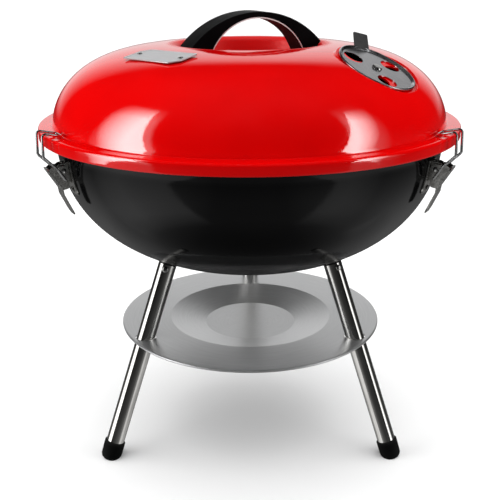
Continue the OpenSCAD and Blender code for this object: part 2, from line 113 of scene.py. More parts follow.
def crown_point(t, g=0.0):
    """A point of the lid's dome, from its lower edge at 0 towards the crest."""
    return (CROWN_R + (CROWN_REACH + g) * math.cos(t) ** (2 / CROWN_POWER_R),
            CROWN_Z + (CROWN_RISE + g) * math.sin(t) ** (2 / CROWN_POWER_Z))


def crown_line(g=0.0):
    return [crown_point(CROWN_END * i / CROWN_STEPS, g) for i in range(CROWN_STEPS + 1)]


def crown_height(r):
    """The dome's height at a radius."""
    t = math.acos(min((r - CROWN_R) / CROWN_REACH, 1.0) ** (CROWN_POWER_R / 2))
    return crown_point(t)[1]


def arc(cx, cy, r, start, end, steps):
    """Points of an arc about (cx, cy), by angles in degrees."""
    out = []
    for i in range(steps + 1):
        t = math.radians(start + (end - start) * i / steps)
        out.append((cx + r * math.cos(t), cy + r * math.sin(t)))
    return out


def circle(cx, cy, r, steps=48):
    return arc(cx, cy, r, 0, 360, steps)[:-1]


def vent_holes(pitch_r, angles, hole_r=8, rivet_r=2.55):
    """Air holes at those angles and the rivet's hole."""
    holes = []
    for a in angles:
        t = math.radians(a)
        holes.append(circle(pitch_r * math.cos(t), pitch_r * math.sin(t), hole_r))
    return holes + [circle(0, 0, rivet_r, 24)]


# ---- mesh building ----

class Shape:
    """Vertices in millimetres and faces, gathered from several closed surfaces."""

    def __init__(self):
        self.verts = []
        self.faces = []

    def add(self, verts, faces, matrix=None):
        base = len(self.verts)
        for v in verts:
            self.verts.append(matrix @ Vector(v) if matrix else Vector(v))
        self.faces += [[base + i for i in f] for f in faces]
        return self


def lathe(profile, steps=128, closed=True, keep=None):
    """Turns a profile of (r, z) about Z. A closed profile joins its last point to its first.

    keep takes a face's corners and says whether the face stays.
    """
    verts, rows = [], []
    for r, z in profile:
        if r < 1e-6:
            rows.append([len(verts)] * steps)
            verts.append((0, 0, z))
        else:
            rows.append(list(range(len(verts), len(verts) + steps)))
            verts += [(x, y, z) for x, y in circle(0, 0, r, steps)]
    faces = []
    count = len(rows) if closed else len(rows) - 1
    for i in range(count):
        a, b = rows[i], rows[(i + 1) % len(rows)]
        for k in range(steps):
            n = (k + 1) % steps
            face = []
            for v in (a[k], a[n], b[n], b[k]):
                if v not in face:
                    face.append(v)
            if len(face) > 2 and (keep is None or keep([verts[v] for v in face])):
                faces.append(face)
    return verts, faces


def tube(points, r, sides=20, closed=False):
    """Sweeps a round section along points."""
    pts = [Vector(p) for p in points]
    n = len(pts)
    tangents = []
    for i in range(n):
        a = pts[i - 1] if i or closed else pts[i]
        b = pts[(i + 1) % n] if i < n - 1 or closed else pts[i]
        tangents.append((b - a).normalized())
    side = tangents[0].orthogonal().normalized()
    rows = []
    for tangent, centre in zip(tangents, pts):
        side = (side - tangent * side.dot(tangent)).normalized()
        up = tangent.cross(side)
        rows.append([centre + (side * x + up * y) * r for x, y in circle(0, 0, 1, sides)])
    return skin(rows, ends=not closed, loop=closed)


def rounded(before, corner, after, radius, steps):
    """The arc that rounds one corner of a line of Vectors."""
    u = (corner - before).normalized()
    v = (after - corner).normalized()
    bend = u.angle(v)
    cut = radius * math.tan(bend / 2)
    mid = corner + (v - u).normalized() * radius / math.cos(bend / 2)
    x = (corner - u * cut - mid).normalized()
    out = []
    for k in range(steps + 1):
        t = bend * k / steps
        out.append(mid + (x * math.cos(t) + u * math.sin(t)) * radius)
    return out


def bent(points, bends, steps=10):
    """A path with each inner corner rounded to that point's bend radius."""
    pts = [Vector(p) for p in points]
    out = [pts[0]]
    for i in range(1, len(pts) - 1):
        out += rounded(pts[i - 1], pts[i], pts[i + 1], bends[i], steps)
    return out + [pts[-1]]


def open_line(points, radii, steps=6):
    """An open 2-D line with its inner corners rounded."""
    return [tuple(p) for p in bent(points, radii, steps)]


def outline_round(points, radii, steps=5):
    """A closed 2-D outline with its corners rounded by one radius or a list of them."""
    pts = [Vector(p) for p in points]
    out = []
    for i, p in enumerate(pts):
        r = radii[i] if isinstance(radii, (list, tuple)) else radii
        following = pts[(i + 1) % len(pts)]
        if r <= 0 or (p - pts[i - 1]).angle(following - p) < 0.02:
            out.append(tuple(p))
        else:
            out += [tuple(q) for q in rounded(pts[i - 1], p, following, r, steps)]
    return out


def thickened(line, t):
    """The closed outline of a strip t thick along a 2-D line."""
    left, right = [], []
    for i, p in enumerate(line):
        before = Vector(line[max(i - 1, 0)])
        after = Vector(line[min(i + 1, len(line) - 1)])
        d = (after - before).normalized()
        n = Vector((-d[1], d[0])) * t / 2
        left.append(tuple(Vector(p) + n))
        right.append(tuple(Vector(p) - n))
    return left + right[::-1]


def inside(p, loop):
    """Whether the point p lies within a 2-D loop."""
    hit = False
    for i in range(len(loop)):
        a, b = loop[i - 1], loop[i]
        if (a[1] > p[1]) != (b[1] > p[1]) and \
                p[0] < (b[0] - a[0]) * (p[1] - a[1]) / (b[1] - a[1]) + a[0]:
            hit = not hit
    return hit


def plate(outline, holes, z0, z1, extra=()):
    """A plate with holes between z0 and z1, which are heights or functions of (x, y).

    extra holds further points of its faces, for a smoother bend.
    """
    low = z0 if callable(z0) else lambda x, y: z0
    high = z1 if callable(z1) else lambda x, y: z1
    loops = [outline] + list(holes)
    flat, edges = [], []
    for loop in loops:
        base = len(flat)
        flat += [Vector(p) for p in loop]
        edges += [(base + i, base + (i + 1) % len(loop)) for i in range(len(loop))]
    flat += [Vector(p) for p in extra]
    pts, _, tris, origin, _, _ = delaunay_2d_cdt(flat, edges, [], 0, 1e-5)
    kept = []
    for tri in tris:
        mid = sum((pts[i] for i in tri), Vector((0, 0))) / len(tri)
        if inside(mid, outline) and not any(inside(mid, h) for h in holes):
            kept.append(tri)
    index = {}
    for new, olds in enumerate(origin):
        for old in olds:
            index[old] = new
    n = len(pts)
    verts = [(p[0], p[1], high(p[0], p[1])) for p in pts]
    verts += [(p[0], p[1], low(p[0], p[1])) for p in pts]
    faces = [list(t) for t in kept] + [[i + n for i in reversed(t)] for t in kept]
    for a, b in edges:
        a, b = index[a], index[b]
        faces.append([a, a + n, b + n, b])
    return verts, faces


def skin(rows, ends=True, loop=False):
    """Joins round rows of equally many points. The end rows are closed, or joined up in a loop."""
    steps = len(rows[0])
    verts = [v for row in rows for v in row]
    faces = []
    for i in range(len(rows) if loop else len(rows) - 1):
        j = (i + 1) % len(rows)
        for k in range(steps):
            m = (k + 1) % steps
            faces.append([i * steps + k, i * steps + m, j * steps + m, j * steps + k])
    if ends:
        faces.append(list(range(steps))[::-1])
        faces.append([len(verts) - steps + k for k in range(steps)])
    return verts, faces


def without_rim(verts, faces, radii):
    """Leaves out the upright faces on circles of those radii, where the next surface joins on."""
    kept = []
    for f in faces:
        reach = [math.hypot(verts[i][0], verts[i][1]) for i in f]
        if not (len(f) == 4 and any(all(abs(r - rim) < 0.01 for r in reach) for rim in radii)):
            kept.append(f)
    return kept


def piece(name, shape, material, body, nodes, slot, matrix=None, bevel=0.0, segments=3, angle=32,
          merge=0.001):
    """One visible piece, drawn in millimetres in the frame of matrix, that stands in for CAD nodes.

    Points closer than merge become one, edges sharper than angle stay sharp, and bevel rounds them.
    """
    mesh = bpy.data.meshes.new(name)
    mesh.from_pydata([v * MM for v in shape.verts], [], shape.faces)
    mesh.update()
    bm = bmesh.new()
    bm.from_mesh(mesh)
    if merge:
        bmesh.ops.remove_doubles(bm, verts=bm.verts, dist=merge * MM)
    bmesh.ops.recalc_face_normals(bm, faces=bm.faces)
    bm.to_mesh(mesh)
    bm.free()
    mesh.shade_smooth()
    mesh.set_sharp_from_angle(angle=math.radians(angle))
    mesh.materials.append(material)
    ob = bpy.data.objects.new(name, mesh)
    scene.collection.objects.link(ob)
    ob.matrix_world = scaled(matrix or Matrix.Identity(4))
    if bevel:
        mod = ob.modifiers.new("edge", "BEVEL")
        mod.width = bevel * MM
        mod.segments = segments
        mod.limit_method = "ANGLE"
        mod.angle_limit = math.radians(35)
        mod.harden_normals = True
        mod.use_clamp_overlap = True
    bpy.context.view_layer.update()
    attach(ob, body)
    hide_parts(*nodes)
    return ob


# ---- materials ----

def nodes_of(name):
    mat = bpy.data.materials.new(name)
    mat.use_nodes = True
    return mat, mat.node_tree, mat.node_tree.nodes["Principled BSDF"]


def feed(tree, value, socket):
    """Links an output to a socket, or sets the socket to a constant."""
    if isinstance(value, (int, float, tuple)):
        socket.default_value = value
    else:
        tree.links.new(value, socket)


def maths(tree, operation, *values):
    n = tree.nodes.new("ShaderNodeMath")
    n.operation = operation
    for value, socket in zip(values, n.inputs):
        feed(tree, value, socket)
    return n.outputs[0]


def product(tree, first, *others):
    for other in others:
        first = maths(tree, "MULTIPLY", first, other)
    return first


def vectors(tree, operation, *values, output=0):
    n = tree.nodes.new("ShaderNodeVectorMath")
    n.operation = operation
    for value, socket in zip(values, n.inputs):
        feed(tree, value, socket)
    return n.outputs[output]


def split(tree, vector):
    n = tree.nodes.new("ShaderNodeSeparateXYZ")
    feed(tree, vector, n.inputs[0])
    return n.outputs


def noise(tree, vector, scale, detail=4.0, rough=0.5):
    n = tree.nodes.new("ShaderNodeTexNoise")
    n.inputs["Scale"].default_value = scale
    n.inputs["Detail"].default_value = detail
    n.inputs["Roughness"].default_value = rough
    feed(tree, vector, n.inputs["Vector"])
    return n.outputs["Fac"]


def ramp(tree, value, low, high, a, b):
    """Runs from a at low to b at high, and stays level outside them."""
    n = tree.nodes.new("ShaderNodeMapRange")
    for setting, socket in zip((value, low, high, a, b), n.inputs):
        feed(tree, setting, socket)
    return n.outputs["Result"]


def mixed(tree, fac, a, b):
    """Colour a where fac is 0 and b where it is 1."""
    n = tree.nodes.new("ShaderNodeMix")
    n.data_type = "RGBA"
    feed(tree, fac, n.inputs["Factor"])
    for socket, value in ((n.inputs[6], a), (n.inputs[7], b)):
        feed(tree, (*value, 1) if isinstance(value, tuple) else value, socket)
    return n.outputs[2]


def bump(tree, shader, height, strength, distance):
    n = tree.nodes.new("ShaderNodeBump")
    n.inputs["Strength"].default_value = strength
    n.inputs["Distance"].default_value = distance
    feed(tree, height, n.inputs["Height"])
    feed(tree, n.outputs["Normal"], shader.inputs["Normal"])


def coordinate(tree, kind):
    return tree.nodes.new("ShaderNodeTexCoord").outputs[kind]


def object_coords(tree, stretch=(1, 1, 1)):
    mapping = tree.nodes.new("ShaderNodeMapping")
    mapping.inputs["Scale"].default_value = stretch
    feed(tree, coordinate(tree, "Object"), mapping.inputs["Vector"])
    return mapping.outputs["Vector"]


def from_axis(tree):
    """The vector from the local Z axis to the point."""
    return vectors(tree, "MULTIPLY", coordinate(tree, "Object"), (1, 1, 0))


def spun_coords(tree):
    """Coordinates that run round the local Z axis, for spun metal."""
    flat = from_axis(tree)
    around = vectors(tree, "MULTIPLY", vectors(tree, "NORMALIZE", flat), (0.004, 0.004, 0.004))
    out = tree.nodes.new("ShaderNodeCombineXYZ")
    feed(tree, vectors(tree, "LENGTH", flat, output="Value"), out.inputs["Z"])
    return vectors(tree, "ADD", around, out.outputs[0])


def stretched(*stretch):
    """A maker of object coordinates with a grain along the smallest number's axis."""
    return lambda tree: object_coords(tree, stretch)


def worn(tree, colour, wear, amount):
    """Exposed edges, found from how sharply the surface turns, take the wear colour."""
    pointiness = tree.nodes.new("ShaderNodeNewGeometry").outputs["Pointiness"]
    return mixed(tree, ramp(tree, pointiness, 0.515, 0.56, 0, amount), colour, wear)


def enamel(name, base, deep, specular, rough=(0.07, 0.12), dull_within=(-1.0, 0.0)):
    """Glossy vitreous enamel: faint orange peel and tiny specks, duller near the local Z axis."""
    mat, tree, shader = nodes_of(name)
    where = object_coords(tree)
    blotch = noise(tree, where, 18, 3)
    speck = ramp(tree, noise(tree, where, 1500, 2, 0.6), 0.66, 0.74, 0, 0.5)
    colour = mixed(tree, ramp(tree, blotch, 0.35, 0.65, 0, 1), base, deep)
    colour = mixed(tree, speck, colour, tuple(c * 0.72 for c in deep))
    feed(tree, colour, shader.inputs["Base Color"])
    radius = vectors(tree, "LENGTH", from_axis(tree), output="Value")
    uneven = ramp(tree, noise(tree, where, 60, 5), 0.3, 0.7, *rough)
    feed(tree, maths(tree, "ADD", ramp(tree, radius, *dull_within, 0.3, 0.0), uneven),
         shader.inputs["Roughness"])
    feed(tree, ramp(tree, radius, *dull_within, specular * 0.3, specular),
         shader.inputs["Specular IOR Level"])
    bump(tree, shader, noise(tree, where, 260, 2), 0.05, 0.0004)
    return mat


def metal(name, bright, dull, rough, coords, scale=400, bump_size=0.0001, bump_strength=0.3,
          smudge=25.0, wear=None, metallic=1.0):
    """Bare or plated steel with a grain along its coordinates and soft smudges over it."""
    mat, tree, shader = nodes_of(name)
    grain = noise(tree, coords(tree), scale, 6, 0.65)
    cloud = noise(tree, object_coords(tree), smudge, 4, 0.55)
    shade = product(tree, grain, ramp(tree, cloud, 0.3, 0.7, 0.75, 1.25))
    colour = mixed(tree, ramp(tree, shade, 0.35, 0.65, 0, 1), dull, bright)
    if wear:
        colour = worn(tree, colour, wear, 0.8)
    feed(tree, colour, shader.inputs["Base Color"])
    shader.inputs["Metallic"].default_value = metallic
    feed(tree, ramp(tree, shade, 0.3, 0.7, *rough), shader.inputs["Roughness"])
    bump(tree, shader, grain, bump_strength, bump_size)
    return mat


def moulded(name, base, lighter, rough, scale, size, gloss=0.3):
    """Moulded plastic, rubber or paint with a fine pebbled skin and rubbed edges."""
    mat, tree, shader = nodes_of(name)
    where = object_coords(tree)
    cloud = noise(tree, where, 40, 4)
    colour = mixed(tree, ramp(tree, cloud, 0.35, 0.7, 0, 1), base, lighter)
    feed(tree, worn(tree, colour, (0.02, 0.02, 0.02), 0.5), shader.inputs["Base Color"])
    feed(tree, ramp(tree, noise(tree, where, 90, 5), 0.3, 0.7, *rough), shader.inputs["Roughness"])
    shader.inputs["Specular IOR Level"].default_value = gloss
    shader.inputs["IOR"].default_value = 1.15
    bump(tree, shader, noise(tree, where, scale, 3), 0.35, size)
    return mat


def painted_edge_highlight(mat, across):
    """The cut edges of painted sheet, which face along across, are painted pale grey as a painted
    highlight.
    """
    tree = mat.node_tree
    colour = tree.nodes["Principled BSDF"].inputs["Base Color"]
    facing = vectors(tree, "DOT_PRODUCT", coordinate(tree, "Normal"), across, output="Value")
    edge = ramp(tree, maths(tree, "ABSOLUTE", facing), 0.6, 0.8, 0.0, 1.0)
    feed(tree, mixed(tree, edge, colour.links[0].from_socket, (0.75, 0.75, 0.75)), colour)
    return mat


PLAIN_GRAIN = stretched(1, 1, 1)
ALONG_X = stretched(0.1, 1, 1)
RED = enamel("red_enamel", (0.63, 0.0005, 0.0007), (0.58, 0.0004, 0.0006), 0.5, (0.05, 0.08),
             dull_within=(0.064, 0.072))
BLACK = enamel("black_enamel", (0.0016, 0.0016, 0.0018), (0.001, 0.001, 0.0012), 0.26,
               dull_within=(0.105, 0.14))
SOCKET_BLACK = moulded("socket_black", (0.0016, 0.0016, 0.0018), (0.003, 0.003, 0.0032), (0.4, 0.5),
                       900, 0.00004)
NYLON = moulded("handle_nylon", (0.0022, 0.0022, 0.0024), (0.004, 0.004, 0.0043), (0.34, 0.46),
                1400, 0.00004, gloss=0.04)
SHIELD = moulded("shield_black", (0.004, 0.004, 0.004), (0.012, 0.012, 0.012), (0.4, 0.5),
                 900, 0.00006, gloss=0.12)
# The shield's cut edges carry a painted highlight.
painted_edge_highlight(SHIELD, tuple(HANDLE_TURN.to_3x3() @ Vector((0, 1, 0))))
RUBBER = moulded("cap_rubber", (0.0022, 0.0022, 0.0022), (0.0042, 0.0042, 0.0042), (0.55, 0.7),
                 1100, 0.0001)
LEG_STEEL = metal("leg_steel", (0.8, 0.79, 0.765), (0.6, 0.59, 0.565), (0.07, 0.13),
                  stretched(1, 1, 0.06), 420, 0.00004, 0.2)
TRAY_STEEL = metal("tray_steel", (0.74, 0.745, 0.75), (0.66, 0.665, 0.67), (0.3, 0.4),
                   spun_coords, 900, 0.00003, 0.12, 12, metallic=0.85)
DISC_STEEL = metal("damper_steel", (0.72, 0.72, 0.74), (0.55, 0.55, 0.57), (0.14, 0.24),
                   ALONG_X, 900, 0.00005, 0.25)
# The damper tab is the disc's own steel, painted dark as painted shade.
SHADED_TAB_STEEL = metal("damper_tab_painted_shade", (0.07, 0.07, 0.07), (0.045, 0.045, 0.045), (0.4, 0.55),
                  ALONG_X, 700, 0.00005, 0.25, metallic=0.6)
LATCH_STEEL = metal("latch_steel", (0.6, 0.59, 0.56), (0.32, 0.31, 0.29), (0.14, 0.3),
                    PLAIN_GRAIN, 350, 0.00008, 0.3, 60, (0.6, 0.6, 0.58))
WIRE = metal("latch_wire", (0.85, 0.85, 0.85), (0.65, 0.65, 0.65), (0.06, 0.14),
             PLAIN_GRAIN, 500, 0.00003, 0.2)
RIVET = metal("rivet_steel", (0.78, 0.78, 0.77), (0.56, 0.56, 0.55), (0.1, 0.24),
              PLAIN_GRAIN, 600, 0.00005, 0.3)
ZINC = metal("zinc_steel", (0.62, 0.62, 0.6), (0.42, 0.42, 0.41), (0.18, 0.36),
             PLAIN_GRAIN, 500, 0.00006, 0.3)
PLAIN = metal("plain_steel", (0.1, 0.1, 0.1), (0.05, 0.05, 0.05), (0.45, 0.6),
              stretched(1, 0.1, 1), 500, 0.00006, 0.3)
GRATE = metal("grate_wire", (0.72, 0.72, 0.71), (0.5, 0.5, 0.49), (0.12, 0.26),
              PLAIN_GRAIN, 500, 0.00005, 0.3)
BADGE = metal("badge_aluminium", (0.62, 0.62, 0.63), (0.52, 0.52, 0.53), (0.32, 0.45),
              stretched(1, 0.06, 1), 900, 0.00003, 0.25, metallic=0.6)


# ---- bowl ----

BOTTOM_VENTS = (-90, 30, 150)


def build_bowl():
    disc_r = 38.0  # inside it, the bottom is a plate with air holes
    outer = [p for p in bowl_curve(0, 90) if p[0] > disc_r + 0.5]
    inner = [p for p in bowl_curve(-SHEET, 90) if p[0] > disc_r + 0.5]
    rim = [(166.3, 279.2), (167.2, 282), (168.2, 285), (169.3, 288), (170.4, 290.6), (171.4, 291.8),
           (172.6, 292.3)]
    bead = arc(175, 291.9, 1.6, -160, 110, 16)
    back = [(173, 293.5), (171, 293.3), (169.6, 292.2), (168.3, 289), (166.6, 283.5), (165.4, 279)]
    profile = ([(disc_r, bowl_z_at(disc_r))] + outer + rim + bead + back + inner[::-1]
               + [(disc_r, bowl_z_at(disc_r, -SHEET))])
    shape = Shape().add(*lathe(profile, 192, closed=False))
    verts, faces = plate(circle(0, 0, disc_r, 192), vent_holes(19, BOTTOM_VENTS),
                         lambda x, y: bowl_z_at(math.hypot(x, y)),
                         lambda x, y: bowl_z_at(math.hypot(x, y), -SHEET),
                         circle(0, 0, 33, 48) + circle(0, 0, 7, 16))
    shape.add(verts, without_rim(verts, faces, [disc_r]))
    piece("bowl", shape, BLACK, "bowl_stand", ["bowl"], "black_enamel", merge=0.01)


build_bowl()


# ---- lid ----

CREST_R, CREST_ROUND = 65, 5.1  # the rounded edge of the sunken middle
CREST_Z = crown_line()[-1][1] - CREST_ROUND
RECESS_Z, RECESS_ROUND, RECESS_WALL = 342, 4, 15
ROUNDS = CREST_ROUND + RECESS_ROUND
RECESS_R = (CREST_R - ROUNDS * math.cos(math.radians(RECESS_WALL))
            - (CREST_Z - RECESS_Z - RECESS_ROUND + ROUNDS * math.sin(math.radians(RECESS_WALL)))
            * math.tan(math.radians(RECESS_WALL)))


def recess_line(g=0.0):
    """From the crest down the recess's wall to its floor."""
    return (arc(CREST_R, CREST_Z, CREST_ROUND - g, 86, 180 - RECESS_WALL, 12)
            + arc(RECESS_R, RECESS_Z + RECESS_ROUND, RECESS_ROUND + g, -RECESS_WALL, -90, 8))


def dome_height(u, v):
    """How high the dome stands over the seat's plane at (u, v)."""
    low, high = -26.0, 20.0
    for _ in range(26):
        n = (low + high) / 2
        p = SEAT @ Vector((u, v, n))
        r = math.hypot(p[0], p[1])
        if p[2] > (crown_height(r) if r < 168 else 0):
            high = n
        else:
            low = n
    return low


def soft_max(a, b):
    """The larger of two heights, with the corner where they cross rounded off."""
    blend = 1.5
    h = max(blend - abs(a - b), 0) / blend
    return max(a, b) + h * h * blend / 4


def pocket(u, v):
    """The seat's cup: a flat floor, and a steep wall that runs out into the dome."""
    wall = max(0.0, math.hypot(u, v) - 34.2) * 2.6
    return soft_max(-soft_max(-dome_height(u, v), -wall), -wall)


def build_lid():
    fillet = arc(169.4, 296.3, 1.3, 180, 270, 5)[::-1]
    outside = ([(180, 286.3), (180, 287.5), (180, 290)] + arc(177.6, 292.6, 2.4, 0, 90, 8) + [(174, 295)]
               + fillet + [p for p in crown_line() if p[1] > 296.6] + recess_line()
               + [(30, RECESS_Z), (0, RECESS_Z)])
    under = ([(0, RECESS_Z - SHEET), (30, RECESS_Z - SHEET)] + recess_line(SHEET)[::-1]
             + crown_line(-SHEET)[::-1] + [(168.5, 293.8), (174, 293.8)]
             + arc(177.6, 292.6, 1.2, 90, 0, 5) + [(178.8, 290), (178.8, 286.3)]
             + arc(179.4, 286.3, 0.6, 180, 360, 6)[1:-1])
    rings = [33.8, 34.2, 34.5, 34.8, 35.1, 35.4, 35.7, 36.0, 36.4, 36.8, 37.2, 37.7, 38.3, 39.0, 39.8,
             40.8, 42.2, 44.0]
    floor_r, patch_r = rings[0], rings[-1]
    steps, thick = 144, 1.35
    to_seat = SEAT.inverted()

    def off_patch(corners):
        mid = to_seat @ (sum((Vector(c) for c in corners), Vector()) / len(corners))
        return math.hypot(mid[0], mid[1]) > patch_r - 2.0 or mid[2] < -25

    shape = Shape().add(*lathe(outside + under, 256, keep=off_patch))
    rows = [[(u, v, pocket(u, v)) for u, v in circle(0, 0, ring, steps)] for ring in rings]
    verts, faces = skin(rows, ends=False)
    n = len(verts)
    verts += [(u, v, height - thick) for u, v, height in verts]
    faces = [f for quad in faces for f in (quad, [q + n for q in quad[::-1]])]
    shape.add(verts, faces, SEAT)
    verts, faces = plate(circle(0, 0, floor_r, steps), vent_holes(20, (71, 191, 311)), -thick, 0.0,
                         circle(0, 0, 30, 72))
    shape.add(verts, without_rim(verts, faces, [floor_r]), SEAT)
    return piece("lid", shape, RED, "lid", ["lid"], "red_enamel", merge=0.01, angle=28)


LID = build_lid()


# ---- handle and its shield ----

def build_handle():
    arch = arc(0, 305, 79, 140, 42.5, 65)
    foot_z, inner_r, inner_z = 343.4, 46.5, 333.5
    outer = ([(-57.3, foot_z), (-58.6, 345.5), (-60.4, 352.4), (-60.9, 354.2)] + arch
             + [(57.4, 357.5), (56.3, 356.2), (55.4, 354.6), (54.9, 352.4), (52.6, 345.5), (51.3, foot_z)])
    low = math.degrees(math.asin((foot_z - inner_z) / inner_r))
    inner = arc(0, inner_z, inner_r, low, 180 - low, 60)
    upright = HANDLE @ turn(90, "X")
    shape = Shape().add(*plate(outer + inner, [], -14, 14), upright)
    piece("lid_handle", shape, NYLON, "lid", ["lid_handle"], "handle_nylon", bevel=1.6, segments=5)

    shield_r, shield_t, shield_z = 46.2, 1.0, 342.6
    low = math.degrees(math.asin((shield_z - inner_z) / shield_r))
    ring = (arc(0, inner_z, shield_r, 180 - low, low, 60)
            + arc(0, inner_z, shield_r - shield_t, low, 180 - low, 60))
    shape = Shape().add(*plate(ring, [], -13, 13), upright)
    for facing, end, hole in ((180, 56.8, 54), (0, 50.8, 48)):
        tab = outline_round([(44.8, -6), (end, -6), (end, 6), (44.8, 6)], [0, 1.5, 1.5, 0])
        shape.add(*plate(tab, [circle(hole, 0, 2.2, 32)], RECESS_Z, RECESS_Z + shield_t),
                  HANDLE @ turn(facing, "Z"))
    piece("handle_heat_shield", shape, SHIELD, "lid", ["handle_heat_shield"], "plain_steel", bevel=0.25,
          segments=2)

    screws, washers = Shape(), Shape()
    screw = [(0, -4.6), (2.2, -4.6), (3.2, -4.3), (3.9, -3.6), (4, -2.9), (4, -2.2), (2, -2.2), (2, 12.6),
             (0, 12.8)]
    washer = [(2.15, -2.2), (4.8, -2.2), (5, -2.0), (5, -1.45), (4.8, -1.25), (2.15, -1.25)]
    for x in (-51, 51):
        spot = HANDLE_TURN @ move(x, 0, RECESS_Z)
        screws.add(*lathe(screw, 32, closed=False), spot)
        washers.add(*lathe(washer, 48), spot)
    piece("handle_screws", screws, ZINC, "lid", ["handle_screws"], "zinc_steel")
    piece("handle_washers", washers, ZINC, "lid", ["handle_washers"], "zinc_steel")


build_handle()


# ---- lid damper ----

def build_damper():
    disc = Shape().add(*plate(circle(0, 0, 29.4, 144), vent_holes(20, (87, 207, 327)), 0.3, 1.1))
    rim = ([(29.2, 0.35), (31.4, 0.35)] + arc(31.8, 1.05, 0.5, -90, 0, 4)
           + arc(31.4, 1.75, 0.9, 10, 150, 8) + [(30.1, 1.75), (29.8, 1.35), (29.3, 1.1)])
    disc.add(*lathe(rim, 144))
    piece("lid_damper", disc, DISC_STEEL, "lid_damper", ["lid_damper"], "damper_steel", matrix=SEAT,
          bevel=0.18, segments=2)

    outline = outline_round([(-7, -0.9), (7, -0.9), (6.7, 13.5), (-6.7, 13.5)], [0, 0, 1.0, 1.0])
    standing = Matrix(((0, 0, 1, 0), (1, 0, 0, 0), (0, 1, 0, 0), (0, 0, 0, 1)))
    place = turn(148, "Z") @ move(30.7, 0, 1.3) @ turn(57, "Y") @ standing
    tab = Shape().add(*plate(outline, [], -1, 0), place)
    # Painted shade: the tab takes a darkened copy of the disc's steel.
    piece("lid_damper_tab", tab, SHADED_TAB_STEEL, "lid_damper", ["lid_damper"], "damper_steel", matrix=SEAT,
          bevel=0.18, segments=2)

    head = [(r, min(z, 2.7)) for r, z in arc(0, -1.2, 5.1, 41.875, 83.125, 6)] + [(0, 2.7)]
    rivet = [(0, -2.6), (3.6, -2.6), (4.4, -2.2), (4.5, -1.7), (4.3, -1.35), (2.5, -1.35), (2.5, 1.5),
             (4.2, 1.5)] + head
    piece("lid_damper_rivet", Shape().add(*lathe(rivet, 40, closed=False)), RIVET, "lid",
          ["lid_damper_rivet"], "rivet_steel", matrix=SEAT)


build_damper()


# ---- badge ----

def build_badge():
    place = at(-42) @ move(102, 0, crown_height(102)) @ turn(11, "Y")
    x, y, corner = 12.5, 29.0, 7
    rivets = (-23, 23)
    corners = [(-x, corner - y), (corner - x, -y), (x, -y), (x, y - corner), (x - corner, y), (-x, y)]
    outline = outline_round(corners, 1.2, 4)
    inner = outline_round([(px * 0.86, py * 0.935) for px, py in corners], 1.0, 4)
    shape = Shape().add(*plate(outline, [circle(0, v, 1.25, 24) for v in rivets], 0.35, 1.0))
    shape.add(*plate(outline, [inner], 0.9, 1.15))
    piece("badge_plate", shape, BADGE, "lid", ["badge_plate"], "badge_aluminium", matrix=place, bevel=0.12,
          segments=2)
    head = [(0, -3.1), (2.1, -3.1), (2.1, -2.3), (1.2, -2.3), (1.2, 1.15), (2.1, 1.2), (1.9, 1.6),
            (1.3, 1.9), (0, 2.0)]
    shape = Shape()
    for v in rivets:
        shape.add(*lathe(head, 28, closed=False), move(0, v))
    piece("badge_rivets", shape, RIVET, "lid", ["badge_rivets"], "rivet_steel", matrix=place)


build_badge()


# ---- legs, sockets, caps ----

def bowl_hit(azimuth, x, y):
    """How far up the leg's frame a line at (x, y) meets the bowl's outside."""
    place = on_leg(azimuth)
    low, high = 150.0, 240.0
    for _ in range(30):
        s = (low + high) / 2
        p = place @ Vector((x, y, s))
        if p[2] < bowl_z_at(min(math.hypot(p[0], p[1]), 166)):
            low = s
        else:
            high = s
    return low


def build_leg(name, azimuth):
    """A tube, its socket under the bowl and its rubber cap, which stands flat on the floor."""
    place = on_leg(azimuth)
    steps = 64
    tube_line = [(7.0, 6.2), (7.3, 6), (7.7, 6), (8, 6.3), (8, 20), (8, 100), (8, 185.1), (7.7, 185.5),
                 (7.3, 185.5), (7, 185.1), (7, 100)]
    piece("leg_" + name, Shape().add(*lathe(tube_line, steps)), LEG_STEEL, "bowl_stand",
          ["leg_" + name], "leg_steel", matrix=place)

    rows = []
    for r, s in ((6.9, 161.6), (6.9, 185.6), (8.6, 185.6), (9.2, 186.1), (9.3, 187)):
        rows.append([(x, y, s) for x, y in circle(0, 0, r, steps)])
    for r, back in ((9.35, 1.6), (9.8, 0.7), (11.0, 0.15), (11.6, -0.5)):
        rows.append([(x, y, max(bowl_hit(azimuth, x, y) - back, 187.2))
                     for x, y in circle(0, 0, r, steps)])
    piece("leg_socket_" + name, Shape().add(*skin(rows)), SOCKET_BLACK, "bowl_stand",
          ["leg_socket_" + name], "black_enamel", matrix=place)

    # the cap's rows: level ones by radius, reach of the outer side and height above the floor, then
    # ones square to the leg by radius and distance along it
    level = [(8.5, 5.0, 0.0), (8.9, 5.6, 0.15), (9.1, 6.6, 0.8), (9.2, 7.8, 2.2), (9.2, 8.8, 4.4)]
    square = [(9.2, 12), (9.2, 14.8), (9.05, 15.3), (8.8, 15.5), (8.3, 15.5), (8.08, 15.2), (8.06, 12),
              (8.06, 6.05)]
    rise = place.to_3x3() @ Vector((0, 0, 1))
    lean = place.to_3x3() @ Vector((1, 0, 0))
    rows = []
    for r, toe, z in level:
        row = [((toe if c > 0 else r) * c, r * s) for c, s in circle(0, 0, 1, steps)]
        rows.append([(x, y, (z - lean[2] * x) / rise[2]) for x, y in row])
    for r, z in square:
        rows.append([(x, y, z) for x, y in circle(0, 0, r, steps)])
    piece("foot_cap_" + name, Shape().add(*skin(rows)), RUBBER, "bowl_stand", ["foot_cap_" + name],
          "cap_rubber", matrix=place)


